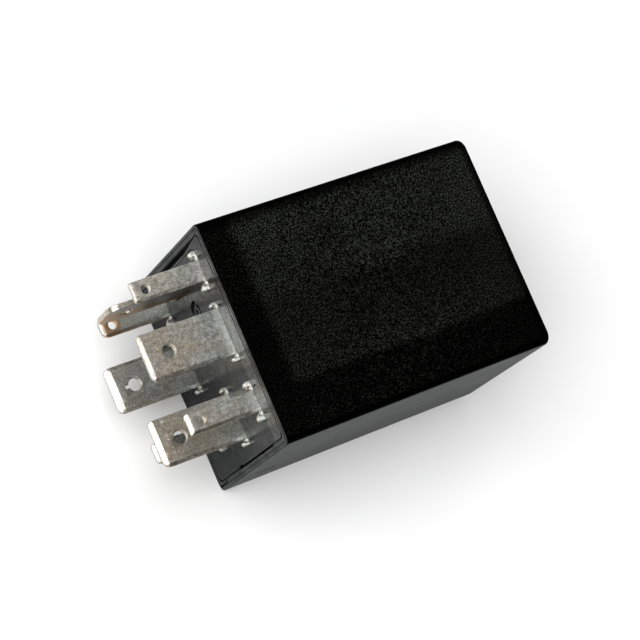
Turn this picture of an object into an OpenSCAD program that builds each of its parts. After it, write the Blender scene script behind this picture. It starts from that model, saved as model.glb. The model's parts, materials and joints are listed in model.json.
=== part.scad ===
// Plug-in relay with an electronic drive board.
// X runs along the relay: 0 is the seating face of the base, the blades point to -X, the cover to +X.
// Y runs across the width and Z across the height. The relay lies on the -Z side of its cover.

/* [Case] */
// length from the seating face to the closed end
body_l = 40; // [36:0.5:46]
// width at the open end
body_w = 30; // [28:0.5:34]
// height at the open end
body_h = 28; // [26:0.5:32]
// side wall thickness of the cover
wall = 1.15; // [0.8:0.05:1.5]
// thickness of the closed end
roof = 1.2; // [0.8:0.1:2]
// draft per side across the width, over the whole length
draft_w = 0.3; // [0:0.05:0.4]
// draft per side across the height, over the whole length
draft_h = 0.2; // [0:0.05:0.4]
// radius of the long edges
edge_r = 1.2; // [0.5:0.1:2]
// depth of the long recess inside the wall that faces -Y
recess = 0.2; // [0.1:0.05:0.4]
// radius of the edges round the closed end
end_r = 1.0; // [0.6:0.1:2.5]

/* [Base] */
// thickness of the base plate
base_t = 2.4; // [2:0.1:3]
// gap between the base plate and the cover, per side
base_gap = 0.08; // [0.04:0.02:0.2]
// clearance round a blade in its slot
slot_gap = 0.05; // [0.03:0.01:0.1]
// depth of the reliefs in the edge of the plate that faces -Y
relief = 0.2; // [0.1:0.05:0.5]
// depth of the pry relief in the edge of the plate that faces +Y
pry = 0.6; // [0.4:0.05:0.8]
// reach of the latch arms past the plate
latch_l = 8.4; // [6:0.2:9]
// height of the posts under the circuit board
post_h = 3.8; // [3:0.1:5]

/* [Power blades] */
// width of a power blade
blade_w = 6.3; // [6.3:0.1:6.3]
// reach of a power blade past the seating face
blade_l = 11.7; // [11:0.1:13]
// thickness of every blade
blade_t = 0.8; // [0.8:0.1:0.8]
// span over the two ears
blade_ears = 8.1; // [7.5:0.1:8.5]
// radius of the locking hole
blade_hole_r = 0.9; // [0.8:0.05:1]
// distance of the locking hole from the seating face
blade_hole_x = 8.3; // [8:0.05:9]
// cut at each tip corner
blade_chamfer = 0.8; // [0.5:0.1:1.4]

/* [Signal blades] */
// width of a signal blade
pin_w = 2.8; // [2.8:0.1:2.8]
// reach of a signal blade past the seating face
pin_l = 9.8; // [9:0.1:11]
// reach of the signal blade nearest -Y and -Z
pin_low_l = 9.5; // [9:0.1:11]
// span over the two ears
pin_ears = 5.4; // [4:0.1:5.4]
// radius of the locking hole
pin_hole_r = 0.6; // [0.5:0.05:0.7]
// distance of the locking hole from the seating face
pin_hole_x = 8.0; // [7.5:0.1:8.5]
// cut at each tip corner
pin_chamfer = 0.45; // [0.3:0.05:0.9]

/* [Blade pattern] */
// column nearest +Y
col_left = 9.8; // [9:0.1:10.5]
// middle column
col_mid = 1.45; // [0:0.05:2]
// column nearest -Y
col_right = -8.05; // [-9:0.05:-7]
// middle row
row_mid = 1.6; // [0:0.05:2]
// distance between neighbouring rows
row_pitch = 8; // [7.5:0.1:8.2]

/* [Circuit board] */
// thickness of the board
board_t = 1.6; // [1:0.2:1.6]
// half width of the board
board_y = 13.3; // [12:0.1:13.4]
// half height of the board
board_z = 12.3; // [11:0.1:12.4]

/* [Coil] */
// centre of the coil across the width
coil_y = -4.5; // [-5:0.1:-4]
// centre of the coil across the height
coil_z = 0.5; // [0:0.1:1]
// height of the pole face and of the yoke's edge
pole_x = 31.9; // [28:0.1:32]
// thickness of the yoke
yoke_t = 1.5; // [1.2:0.1:2]
// width of the yoke and the armature
yoke_w = 10; // [8:0.5:10]
// side of the square bobbin flanges
flange = 13; // [12:0.5:13]
// outer radius of the winding
winding_r = 6; // [5:0.1:6.2]
// radius of the core
core_r = 2.5; // [2:0.1:3]

/* [Contacts] */
// angle of the armature at rest
open_deg = 3; // [2:0.1:4]
// thickness of the armature
arm_t = 1.3; // [1:0.1:1.6]
// thickness of the leaf springs
leaf_t = 0.3; // [0.2:0.05:0.4]
// thickness of the contact carrier and of the rest stop
strip_t = 0.8; // [0.6:0.1:1]
// centre of the contacts across the height
contact_z = -9.1; // [-9.4:0.1:-8.8]

/* [Hidden] */
$fn = 64;

row_top = row_mid + row_pitch;
row_low = row_mid - row_pitch;
cav_y = body_w / 2 - wall;
cav_z = body_h / 2 - wall;
plate_y = cav_y - base_gap;
plate_z = cav_z - base_gap;
board_x = base_t + post_h;
board_top = board_x + board_t;
tail_x = board_top + 0.9;
shoulder_l = 1.2;
rib_x = board_x - 1;
post_y = 12;
post_z = 11.3;
latch_y = 12.9;
latch_t = 0.7;
latch_w = 6;
yoke_x = board_top + 1.2;
flange_t = 1;
flange_x = yoke_x + yoke_t + 0.1;
core_x = yoke_x + yoke_t + 0.02;
head_r = 4;
head_t = 1;
flange_top = pole_x - head_t - 0.1;
yoke_out = coil_z + 8.8;
yoke_in = yoke_out - yoke_t;
arm_gap = 0.03;
arm_under = pole_x + arm_gap;
arm_over = arm_under + arm_t;
leaf_under = arm_over + 0.02;
leaf_over = leaf_under + leaf_t;
arm_tip = coil_z - 4.6;
heel = yoke_out + 1.6;
keeper_y = 3.9;
keeper_w = 1.2;
leaf_end = contact_z - 1.6;
rivet_z = [4.5, -0.5];
yoke_rivet_x = [19, 23];
cap_y = 9.3;
cap_z = -9;
cap_r = 3.15;
cap_pitch = 1.25;
diode_z = -2.9;
diode_y = 6.2;
diode_x = board_top + 1.5;
diode_reach = 3.6;
res_y = 11.6;
res_z = 4.9;
res_pitch = 2.7;
res_top = 16.4;
trans_y = 6;
trans_z = 9.6;
trans_pitch = 1.27;
trans_x = 11.5;
chip_y = 5.5;
chip_z = 3;
chip_pitch = 1.27;
lead_r = 0.3;
lead_end = board_x - 0.8;
coil_pin_dy = 4.7;
coil_pin_z = -4.9;
coil_pin_r = 0.35;
carrier_z = -7.5;
stop_z = -11.9;
strip_y = -6;
strip_w = 3;
foot_y = -4.25;
foot_w = 2;

// round leads that go through the board: y, z, radius
LEADS = [
    [cap_y - cap_pitch, cap_z, lead_r],
    [cap_y + cap_pitch, cap_z, lead_r],
    [diode_y - diode_reach, diode_z, lead_r],
    [diode_y + diode_reach, diode_z, lead_r],
    [res_y, res_z, lead_r],
    [res_y, res_z + res_pitch, lead_r],
    [trans_y - trans_pitch, trans_z, lead_r],
    [trans_y, trans_z, lead_r],
    [trans_y + trans_pitch, trans_z, lead_r],
    [coil_y - coil_pin_dy, coil_pin_z, coil_pin_r],
    [coil_y + coil_pin_dy, coil_pin_z, coil_pin_r]
];

// flat tails that go through the board: y, z, size along y, size along z, radius of the solder
power_tail = 2;
pin_tail = 1.2;
TAILS = [
    [col_left, row_mid, blade_t, power_tail, 1.4],
    [col_right, row_mid, power_tail, blade_t, 1.4],
    [col_mid, row_top, power_tail, blade_t, 1.4],
    [col_mid, row_low, power_tail, blade_t, 1.4],
    [col_left, row_top, pin_tail, blade_t, 1.1],
    [col_right, row_top, pin_tail, blade_t, 1.1],
    [col_left, row_low, pin_tail, blade_t, 1.1],
    [col_right, row_low, pin_tail, blade_t, 1.1],
    [foot_y, carrier_z + strip_t / 2, foot_w, strip_t, 1.3],
    [foot_y, stop_z + strip_t / 2, foot_w, strip_t, 1.3]
];

// ---- shared shapes ----

// profile with one open end at x = 0 and a rounded closed end, drafted on both sides
module drafted_profile(len, h0, h1, r) {
    a = atan((h0 - h1) / len);
    xc = len - r;
    yc = h0 - (h0 - h1) * xc / len - r / cos(a);
    tx = xc + r * sin(a);
    ty = yc + r * cos(a);
    polygon([[0, -h0], [tx, -ty], [len, -yc], [len, yc], [tx, ty], [0, h0]]);
    for (s = [-1, 1]) translate([xc, s * yc]) circle(r = r);
}

// rectangle with round corners
module rounded_rect(w, h, r) {
    square([w - 2 * r, h], center = true);
    square([w, h - 2 * r], center = true);
    for (i = [-1, 1]) for (j = [-1, 1])
        translate([i * (w / 2 - r), j * (h / 2 - r)]) circle(r = r);
}

// extrude a profile drawn in Y and Z along +X
module along_x(x0, x1) {
    translate([x0, 0, 0]) rotate([90, 0, 90]) linear_extrude(height = x1 - x0) children();
}

// extrude a profile drawn in X and Z along Y, centred on y0
module along_y(y0, w) {
    translate([0, y0, 0]) rotate([90, 0, 0]) linear_extrude(height = w, center = true) children();
}

// block that is drafted both ways, with rounded long edges and a rounded closed end
module drafted_block(len, w0, w1, h0, h1, r_long, r_end) {
    intersection() {
        linear_extrude(height = 2 * h0 + 2, center = true) drafted_profile(len, w0, w1, r_end);
        along_y(0, 2 * w0 + 2) drafted_profile(len, h0, h1, r_end);
        along_x(0, len) rounded_rect(2 * w0, 2 * h0, r_long);
    }
}

// cylinder along +X
module rod(x0, x1, r, y = 0, z = 0) {
    translate([x0, y, z]) rotate([0, 90, 0]) cylinder(r = r, h = x1 - x0);
}

// cone along +X
module taper(x0, x1, ra, rb, y = 0, z = 0) {
    translate([x0, y, z]) rotate([0, 90, 0]) cylinder(r1 = ra, r2 = rb, h = x1 - x0);
}

// box by its low and high corners
module box(a, b) {
    translate(a) cube([b[0] - a[0], b[1] - a[1], b[2] - a[2]]);
}

// put the armature group at its rest angle about the yoke's edge
module at_rest() {
    translate([pole_x, 0, yoke_out]) rotate([0, -open_deg, 0])
        translate([-pole_x, 0, -yoke_out]) children();
}

// ---- blades ----

// outline of a blade in X and Y: plain blade, ears, stem in the base, shoulder, neck and tail
module blade_outline(w, len, ears, chamfer, neck_w, tail_w) {
    h = w / 2;
    e = ears / 2;
    ear_h = 0.85;
    relief_w = 0.3;
    polygon([[-len, -h + chamfer], [-len + chamfer, -h], [0.1, -h],
             [0.1, h], [-len + chamfer, h], [-len, h - chamfer]]);
    difference() {
        translate([-ear_h, -e]) square([ear_h + base_t + 0.02, ears]);
        for (s = [-1, 1]) {
            translate([-0.4, s * (h + relief_w)]) circle(r = relief_w);
            translate([-ear_h - 0.1, s * (h + relief_w / 2) - relief_w / 2])
                square([ear_h - 0.3, relief_w]);
        }
    }
    translate([base_t + 0.02, -e - 0.2]) square([shoulder_l, ears + 0.4]);
    translate([base_t + shoulder_l, -neck_w / 2]) square([board_x - 0.2 - base_t - shoulder_l, neck_w]);
    translate([board_x - 0.3, -tail_w / 2]) square([tail_x - board_x + 0.3, tail_w]);
}

// locking hole, with or without a slit toward the tip
module lock_hole(r, x, slit) {
    translate([-x, 0]) circle(r = r);
    if (slit > 0) translate([-x - r - 0.45, -slit / 2]) square([r + 0.45, slit]);
}

module blade(w, len, ears, chamfer, neck_w, tail_w, hole_r, hole_x, slit) {
    tip_t = 0.3;
    bevel = 0.8;
    h = blade_t / 2;
    intersection() {
        linear_extrude(height = blade_t, center = true) difference() {
            blade_outline(w, len, ears, chamfer, neck_w, tail_w);
            lock_hole(hole_r, hole_x, slit);
        }
        along_y(0, ears + 2) polygon([[-len, -tip_t / 2], [-len + bevel, -h], [tail_x + 1, -h],
            [tail_x + 1, h], [-len + bevel, h], [-len, tip_t / 2]]);
    }
}

module power_blade(y, z, slit = 0, turn = 0) {
    translate([0, y, z]) rotate([turn, 0, 0])
        blade(blade_w, blade_l, blade_ears, blade_chamfer, 3.4, power_tail,
              blade_hole_r, blade_hole_x, slit);
}

module signal_blade(y, z, len = pin_l) {
    translate([0, y, z])
        blade(pin_w, len, pin_ears, pin_chamfer, 1.8, pin_tail, pin_hole_r, pin_hole_x, 0);
}

module blade_87() {
    color("silver") power_blade(col_left, row_mid, 0, 90);
}

module blade_30() {
    color("silver") power_blade(col_right, row_mid);
}

module blade_85() {
    color("silver") power_blade(col_mid, row_top);
}

module blade_86() {
    color("silver") power_blade(col_mid, row_low, 0.5);
}

module pin_1() {
    color("silver") signal_blade(col_left, row_top);
}

module pin_2() {
    color("silver") signal_blade(col_right, row_top);
}

module pin_3() {
    color("silver") signal_blade(col_left, row_low);
}

module pin_4() {
    color("silver") signal_blade(col_right, row_low, pin_low_l);
}

// ---- case ----

// open can with pockets for the latches, a long recess, a notch and a short witness slit
module cover() {
    pocket = latch_w + 0.4;
    color("dimgray") difference() {
        drafted_block(body_l, body_w / 2, body_w / 2 - draft_w,
                      body_h / 2, body_h / 2 - draft_h, edge_r, end_r);
        translate([-1, 0, 0])
            drafted_block(body_l - roof + 1, cav_y, cav_y - draft_w,
                          cav_z, cav_z - draft_h, 0.6, 0.8);
        for (s = [-1, 1]) translate([8.4, s * (cav_y + 0.1) - 0.5, -pocket / 2])
            cube([2.2, 1, pocket]);
        box([-1, -cav_y - recess, -4.4], [3, -cav_y + 0.3, 9]);
        box([-1, -14.45, -13.5], [0.5, -14.22, -10.5]);
        box([-1, -14.35, -10.85], [0.5, -cav_y + 0.3, -10.56]);
        box([2.7, -body_w / 2 - 1, -6.85], [5.4, -body_w / 2 + 0.25, -6.35]);
    }
}

// plate with a slot per blade, latch arms, ribs and posts for the board
module base_plate() {
    color("slategray") difference() {
        union() {
            along_x(0, base_t) rounded_rect(2 * plate_y, 2 * plate_z, 0.8);
            for (s = [-1, 1]) {
                y0 = s > 0 ? latch_y : -latch_y - latch_t;
                box([base_t - 0.1, y0, -latch_w / 2], [base_t + latch_l, y0 + latch_t, latch_w / 2]);
                y1 = s > 0 ? latch_y : -latch_y - latch_t - 0.1;
                box([8.8, y1, -latch_w / 2], [10.4, y1 + latch_t + 0.1, latch_w / 2]);
            }
            for (i = [-1, 1]) for (j = [-1, 1]) {
                rod(base_t - 0.1, board_x - 0.02, 1.2, i * post_y, j * post_z);
                rod(board_x - 0.1, board_top + 0.5, 0.7, i * post_y, j * post_z);
            }
            box([base_t - 0.1, 6, -11.8], [rib_x, 6.7, 11.8]);
            for (z = [-3, 4.8]) box([base_t - 0.1, -12.6, z], [rib_x, 5.6, z + 0.7]);
        }
        for (t = TAILS) if (t[4] != 1.3) {
            turned = t[2] < t[3];
            ears = t[4] > 1.2 ? blade_ears : pin_ears;
            sy = (turned ? blade_t : ears) + 2 * slot_gap;
            sz = (turned ? ears : blade_t) + 2 * slot_gap;
            translate([-1, t[0] - sy / 2, t[1] - sz / 2]) cube([base_t + 2, sy, sz]);
        }
        box([-1, -plate_y - 1, -4.4], [base_t + 1, -plate_y + relief, -3]);
        along_x(-1, base_t - 0.8) polygon([[plate_y - pry, -3.8], [plate_y + 1, -3.8],
            [plate_y + 1, 12], [plate_y, 12], [plate_y - pry, 6.5]]);
        rod(-1, 0.3, 1.5, 6.2, 2.7);
    }
}

// ---- circuit board ----

module circuit_board() {
    color("darkgreen") difference() {
        along_x(board_x, board_top) rounded_rect(2 * board_y, 2 * board_z, 0.6);
        for (t = TAILS) translate([0, t[0] - t[2] / 2 - 0.15, t[1] - t[3] / 2 - 0.15])
            cube([board_top + 1, t[2] + 0.3, t[3] + 0.3]);
        for (p = LEADS) rod(0, board_top + 1, p[2] + 0.12, p[0], p[1]);
        for (i = [-1, 1]) for (j = [-1, 1])
            rod(0, board_top + 1, 0.75, i * post_y, j * post_z);
        for (s = [-1, 1]) translate([0, s * (latch_y + 0.9) - 1, -latch_w / 2 - 0.3])
            cube([board_top + 1, 2, latch_w + 0.6]);
    }
}

// fillets: round the flat tails on the inner side, round the wire leads on the base side
module solder_joints() {
    color("lightgray") {
        for (t = TAILS) difference() {
            taper(board_top + 0.01, board_top + 0.7, t[4], t[4] - 0.35, t[0], t[1]);
            translate([0, t[0] - t[2] / 2 - 0.01, t[1] - t[3] / 2 - 0.01])
                cube([board_top + 2, t[2] + 0.02, t[3] + 0.02]);
        }
        for (p = LEADS) difference() {
            taper(board_x - 0.5, board_x - 0.01, p[2] + 0.12, 0.75, p[0], p[1]);
            rod(0, board_top, p[2] + 0.01, p[0], p[1]);
        }
    }
}

// ---- magnet system ----

// bent plate with a hole for the core and two keeper lugs
module yoke() {
    color("lightsteelblue") difference() {
        union() {
            along_y(coil_y, yoke_w) {
                translate([yoke_x, coil_z - 4.9]) square([yoke_t, yoke_out - yoke_t - coil_z + 4.9]);
                translate([yoke_x + yoke_t, yoke_in]) square([pole_x - yoke_x - yoke_t, yoke_t]);
                intersection() {
                    translate([yoke_x + yoke_t, yoke_in]) circle(r = yoke_t);
                    translate([yoke_x - 1, yoke_in]) square([yoke_t + 1, yoke_t + 1]);
                }
            }
            for (s = [-1, 1])
                translate([pole_x - 0.1, coil_y + s * keeper_y - keeper_w / 2, yoke_in + 0.2])
                    cube([2.4, keeper_w, yoke_t - 0.5]);
        }
        rod(yoke_x - 1, yoke_x + yoke_t + 1, 2.02, coil_y, coil_z);
        for (x = yoke_rivet_x) translate([x, coil_y, yoke_in - 1]) cylinder(r = 0.8, h = 4);
    }
}

// iron core with a stake in the yoke and a wide pole face
module core() {
    color("lightsteelblue") {
        rod(yoke_x - 0.2, core_x + 0.1, 2, coil_y, coil_z);
        rod(core_x, pole_x - head_t + 0.1, core_r, coil_y, coil_z);
        rod(pole_x - head_t, pole_x, head_r, coil_y, coil_z);
    }
}

// spool with two square flanges and two feet that straddle the yoke
module coil_bobbin() {
    foot_t = 1.25;
    color("ivory") difference() {
        union() {
            for (x = [flange_x, flange_top - flange_t]) translate([0, coil_y, coil_z])
                along_x(x, x + flange_t) rounded_rect(flange, flange, 0.8);
            rod(flange_x, flange_top, core_r + 0.9, coil_y, coil_z);
            for (s = [-1, 1])
                translate([board_top + 0.01, coil_y + s * (flange - foot_t) / 2 - foot_t / 2, -3.6])
                    cube([flange_x - board_top + 0.1, foot_t, 9.4]);
        }
        rod(0, body_l, core_r + 0.06, coil_y, coil_z);
        for (s = [-1, 1]) rod(0, flange_x + 3, coil_pin_r + 0.02, coil_y + s * coil_pin_dy, coil_pin_z);
    }
}

module coil_winding() {
    color("peru") difference() {
        rod(flange_x + flange_t + 0.05, flange_top - flange_t - 0.05, winding_r, coil_y, coil_z);
        rod(0, body_l, core_r + 0.93, coil_y, coil_z);
    }
}

module coil_pins() {
    color("silver") for (s = [-1, 1])
        rod(lead_end, flange_x + flange_t + 0.5, coil_pin_r, coil_y + s * coil_pin_dy, coil_pin_z);
}

// hinged plate with keeper slots and a narrow heel
module armature() {
    color("lightsteelblue") at_rest() difference() {
        union() {
            box([arm_under, coil_y - yoke_w / 2, arm_tip], [arm_over, coil_y + yoke_w / 2, yoke_out + 0.4]);
            box([arm_under, coil_y - 2.4, yoke_out], [arm_over, coil_y + 2.4, heel]);
        }
        for (s = [-1, 1]) translate([0, coil_y + s * keeper_y - keeper_w / 2 - 0.25, yoke_in - 0.15])
            cube([body_l, keeper_w + 0.5, yoke_t + 0.2]);
        for (z = rivet_z) rod(0, body_l, 0.8, coil_y, z);
    }
}

// ---- contacts ----

// leaf that carries the moving contact past the end of the armature
module contact_spring() {
    half = 2.4;
    color("goldenrod") at_rest() difference() {
        union() {
            box([leaf_under, coil_y - half, leaf_end + half], [leaf_over, coil_y + half, 6.6]);
            intersection() {
                rod(leaf_under, leaf_over, half, coil_y, leaf_end + half);
                box([leaf_under, coil_y - half, leaf_end], [leaf_over, coil_y + half, leaf_end + half]);
            }
        }
        for (z = rivet_z) rod(0, body_l, 0.8, coil_y, z);
        rod(0, body_l, 0.74, coil_y, contact_z);
        box([0, coil_y - 0.3, -6], [body_l, coil_y + 0.3, -2.6]);
    }
}

module armature_rivets() {
    color("gray") at_rest() for (z = rivet_z) {
        rod(arm_under + 0.1, leaf_over + 0.1, 0.78, coil_y, z);
        rod(leaf_over + 0.01, leaf_over + 0.25, 1.3, coil_y, z);
        taper(leaf_over + 0.25, leaf_over + 0.45, 1.3, 0.9, coil_y, z);
    }
}

// button on the underside of the leaf, riveted through it
module moving_contact() {
    color("whitesmoke") at_rest() {
        taper(arm_over - 0.87, arm_over - 0.67, 1.3, 1.6, coil_y, contact_z);
        rod(arm_over - 0.67, leaf_under - 0.01, 1.6, coil_y, contact_z);
        rod(leaf_under - 0.1, leaf_over + 0.1, 0.72, coil_y, contact_z);
        rod(leaf_over + 0.01, leaf_over + 0.3, 0.9, coil_y, contact_z);
    }
}

// button on the carrier, under the moving one
module fixed_contact() {
    top = arm_over - 0.93;
    seat = top - 0.8;
    color("whitesmoke") {
        rod(seat + 0.01, top - 0.2, 1.7, coil_y, contact_z);
        taper(top - 0.2, top, 1.7, 1.4, coil_y, contact_z);
        rod(seat - strip_t - 0.1, seat + 0.1, 0.78, coil_y, contact_z);
        rod(seat - strip_t - 0.35, seat - strip_t - 0.01, 1.05, coil_y, contact_z);
    }
}

// upright strip with its top leg turned toward -Z, and a foot in the board
module contact_carrier() {
    seat = arm_over - 1.73;
    color("burlywood") difference() {
        union() {
            box([board_top + 0.9, strip_y, carrier_z], [seat, strip_y + strip_w, carrier_z + strip_t]);
            box([seat - strip_t, strip_y, contact_z - 1.9], [seat, strip_y + strip_w, carrier_z + strip_t]);
            box([lead_end, foot_y - foot_w / 2, carrier_z],
                [board_top + 1, foot_y + foot_w / 2, carrier_z + strip_t]);
        }
        rod(0, body_l, 0.8, coil_y, contact_z);
    }
}

// upright strip whose top leg holds the tip of the leaf at rest
module rest_stop() {
    lift = (yoke_out - leaf_end) * sin(open_deg);
    under = leaf_over + lift + 0.04;
    color("lightsteelblue") {
        box([board_top + 0.9, strip_y, stop_z], [under + strip_t, strip_y + strip_w, stop_z + strip_t]);
        box([under, strip_y, stop_z], [under + strip_t, strip_y + strip_w, leaf_end + 0.5]);
        box([lead_end, foot_y - foot_w / 2, stop_z],
            [board_top + 1, foot_y + foot_w / 2, stop_z + strip_t]);
    }
}

// leaf on the yoke that presses on the heel of the armature
module return_spring() {
    z0 = yoke_out + 0.02;
    z1 = heel + 0.35;
    over = arm_over + 0.07;
    color("goldenrod") difference() {
        along_y(coil_y, 4.4) polygon([
            [16, z0], [25.5, z0], [29, z1], [over, z1], [over, yoke_out + 0.5],
            [over + leaf_t, yoke_out + 0.5], [over + leaf_t, z1 + leaf_t], [28.9, z1 + leaf_t],
            [25.4, z0 + leaf_t], [16, z0 + leaf_t]]);
        for (x = yoke_rivet_x) translate([x, coil_y, 0]) cylinder(r = 0.8, h = 20);
    }
}

module yoke_rivets() {
    top = yoke_out + 0.02 + leaf_t;
    color("gray") for (x = yoke_rivet_x) translate([x, coil_y, 0]) {
        translate([0, 0, yoke_in + 0.02]) cylinder(r = 0.78, h = top - yoke_in);
        translate([0, 0, top + 0.01]) cylinder(r = 1.3, h = 0.25);
        translate([0, 0, top + 0.26]) cylinder(r1 = 1.3, r2 = 0.9, h = 0.2);
    }
}

// ---- parts on the board ----

module capacitor_can() {
    x0 = board_top + 1.4;
    color("midnightblue") difference() {
        union() {
            rod(x0, x0 + 10.6, cap_r, cap_y, cap_z);
            taper(x0 + 10.6, x0 + 11.1, cap_r, cap_r - 0.4, cap_y, cap_z);
        }
        rod(x0 - 1, x0 + 0.8, cap_r - 0.4, cap_y, cap_z);
        rod(x0 + 10.9, x0 + 12, cap_r - 0.7, cap_y, cap_z);
    }
}

module capacitor_bung() {
    x0 = board_top + 1.3;
    color("black") difference() {
        rod(x0, x0 + 0.85, cap_r - 0.43, cap_y, cap_z);
        for (s = [-1, 1]) rod(0, x0 + 2, lead_r + 0.01, cap_y + s * cap_pitch, cap_z);
    }
}

module capacitor_leads() {
    color("silver") for (s = [-1, 1])
        rod(lead_end, board_top + 2.1, lead_r, cap_y + s * cap_pitch, cap_z);
}

module diode_body() {
    half = 2.4;
    color("black") translate([diode_x, diode_y, diode_z]) rotate([90, 0, 0]) difference() {
        cylinder(r = 1.3, h = 2 * half, center = true);
        cylinder(r = lead_r + 0.01, h = 2 * half + 1, center = true);
    }
}

// one straight wire through the body, turned down into the board at both ends
module diode_leads() {
    color("silver") {
        translate([diode_x, diode_y, diode_z]) rotate([90, 0, 0])
            cylinder(r = lead_r, h = 2 * diode_reach, center = true);
        for (s = [-1, 1]) {
            translate([diode_x, diode_y + s * diode_reach, diode_z]) sphere(r = lead_r);
            rod(lead_end, diode_x, lead_r, diode_y + s * diode_reach, diode_z);
        }
    }
}

// upright body with a waist between two end caps
module resistor_body() {
    x0 = board_top + 0.8;
    color("tan") difference() {
        union() {
            rod(x0, x0 + 1.4, 1.15, res_y, res_z);
            rod(x0 + 1.3, x0 + 5, 0.95, res_y, res_z);
            rod(x0 + 4.9, x0 + 6.3, 1.15, res_y, res_z);
        }
        rod(0, body_l, lead_r + 0.01, res_y, res_z);
    }
}

module resistor_leads() {
    color("silver") {
        for (s = [0, 1]) {
            rod(lead_end, res_top, lead_r, res_y, res_z + s * res_pitch);
            translate([res_top, res_y, res_z + s * res_pitch]) sphere(r = lead_r);
        }
        translate([res_top, res_y, res_z]) cylinder(r = lead_r, h = res_pitch);
    }
}

// round body with one flat side
module transistor_body() {
    color("black") difference() {
        rod(trans_x, trans_x + 4.7, 2.3, trans_y, trans_z);
        translate([trans_x - 1, trans_y - 4, trans_z + 1.35]) cube([7, 8, 4]);
        for (s = [-1, 0, 1]) rod(0, trans_x + 0.8, lead_r + 0.01, trans_y + s * trans_pitch, trans_z);
    }
}

module transistor_leads() {
    color("silver") for (s = [-1, 0, 1])
        rod(lead_end, trans_x + 0.78, lead_r, trans_y + s * trans_pitch, trans_z);
}

module control_chip() {
    color("black") translate([board_top + 0.2, chip_y, chip_z]) difference() {
        union() {
            translate([0, -1.95, -2.45]) cube([0.7, 3.9, 4.9]);
            translate([0.7, -1.85, -2.35]) cube([0.7, 3.7, 4.7]);
        }
        translate([1.3, -1.2, -1.7]) rotate([0, 90, 0]) cylinder(r = 0.3, h = 1);
    }
}

// four bent legs on each side of the chip
module chip_leads() {
    w = 0.42;
    color("silver") for (s = [-1, 1]) for (i = [-1.5, -0.5, 0.5, 1.5])
        translate([board_top, chip_y, chip_z + i * chip_pitch - w / 2])
            linear_extrude(height = w) polygon([
                [0.02, s * 2.75], [0.02, s * 2.35], [0.72, s * 2.2], [0.72, s * 1.97],
                [0.92, s * 1.97], [0.92, s * 2.35], [0.22, s * 2.5], [0.22, s * 2.75]]);
}

module chip_resistors() {
    color("black") for (z = [-6.2, -8.4, -10.6])
        box([board_top + 0.02, 4, z - 0.62], [board_top + 0.55, 6, z + 0.62]);
}

module chip_capacitor() {
    color("tan") box([board_top + 0.02, 11.5, -6.5], [board_top + 0.9, 12.75, -4.5]);
}

cover();
base_plate();
blade_87();
blade_30();
blade_85();
blade_86();
pin_1();
pin_2();
pin_3();
pin_4();
circuit_board();
solder_joints();
yoke();
core();
coil_bobbin();
coil_winding();
coil_pins();
armature();
contact_spring();
armature_rivets();
moving_contact();
return_spring();
yoke_rivets();
contact_carrier();
fixed_contact();
rest_stop();
capacitor_can();
capacitor_bung();
capacitor_leads();
diode_body();
diode_leads();
resistor_body();
resistor_leads();
transistor_body();
transistor_leads();
control_chip();
chip_leads();
chip_resistors();
chip_capacitor();
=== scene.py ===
import json
import math

import bmesh
import bpy
from mathutils import Matrix, Vector

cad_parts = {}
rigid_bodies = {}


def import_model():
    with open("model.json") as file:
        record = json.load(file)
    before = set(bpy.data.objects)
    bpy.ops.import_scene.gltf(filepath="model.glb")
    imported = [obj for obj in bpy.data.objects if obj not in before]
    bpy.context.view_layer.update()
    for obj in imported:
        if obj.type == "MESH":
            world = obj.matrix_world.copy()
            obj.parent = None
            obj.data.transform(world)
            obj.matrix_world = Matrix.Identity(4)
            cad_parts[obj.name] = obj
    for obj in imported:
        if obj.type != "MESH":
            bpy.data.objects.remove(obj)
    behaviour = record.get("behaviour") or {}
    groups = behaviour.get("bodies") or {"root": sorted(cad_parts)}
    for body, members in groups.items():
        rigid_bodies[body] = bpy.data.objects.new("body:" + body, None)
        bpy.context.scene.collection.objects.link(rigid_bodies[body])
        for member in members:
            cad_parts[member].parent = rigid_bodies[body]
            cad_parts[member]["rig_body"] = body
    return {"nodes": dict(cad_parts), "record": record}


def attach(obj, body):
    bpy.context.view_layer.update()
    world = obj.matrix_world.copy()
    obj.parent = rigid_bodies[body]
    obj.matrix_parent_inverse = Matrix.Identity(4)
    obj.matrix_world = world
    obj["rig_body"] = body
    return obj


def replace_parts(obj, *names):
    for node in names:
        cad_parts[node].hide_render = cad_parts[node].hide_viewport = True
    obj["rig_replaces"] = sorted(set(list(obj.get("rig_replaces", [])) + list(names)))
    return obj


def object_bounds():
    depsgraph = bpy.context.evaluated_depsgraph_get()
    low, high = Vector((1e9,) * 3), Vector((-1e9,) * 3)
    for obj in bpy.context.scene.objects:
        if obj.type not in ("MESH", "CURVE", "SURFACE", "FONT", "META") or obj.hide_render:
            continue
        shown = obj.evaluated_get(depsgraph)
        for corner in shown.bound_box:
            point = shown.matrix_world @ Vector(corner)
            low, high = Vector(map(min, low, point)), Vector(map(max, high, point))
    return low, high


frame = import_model()
CAD_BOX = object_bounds()
NODES = frame["nodes"]

MM = 0.001


# ---------------------------------------------------------------- node materials

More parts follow.
